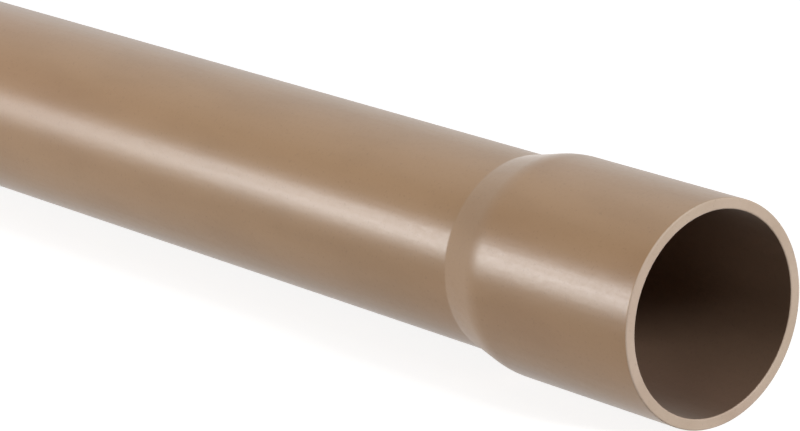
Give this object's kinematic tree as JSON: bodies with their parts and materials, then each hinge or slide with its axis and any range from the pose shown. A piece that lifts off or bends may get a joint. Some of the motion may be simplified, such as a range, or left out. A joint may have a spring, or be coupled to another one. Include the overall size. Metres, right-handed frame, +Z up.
{
  "type": "pvc pipe",
  "caption": "Straight length of rigid brown PVC pressure pipe with a plain end and a formed socket end that takes the next pipe's plain end.",
  "frame": {"origin": "centre of the socket's mouth, on the pipe's axis", "axes": "+X along the pipe's axis and out of the socket's mouth, +Z up, with the pipe lying on its side"},
  "size_m": [3, 0.0558, 0.056],
  "materials": {
    "brown_pvc": "satin"
  },
  "bodies": {
    "root": {"belled_pipe": "brown_pvc"}
  },
  "joints": []
}
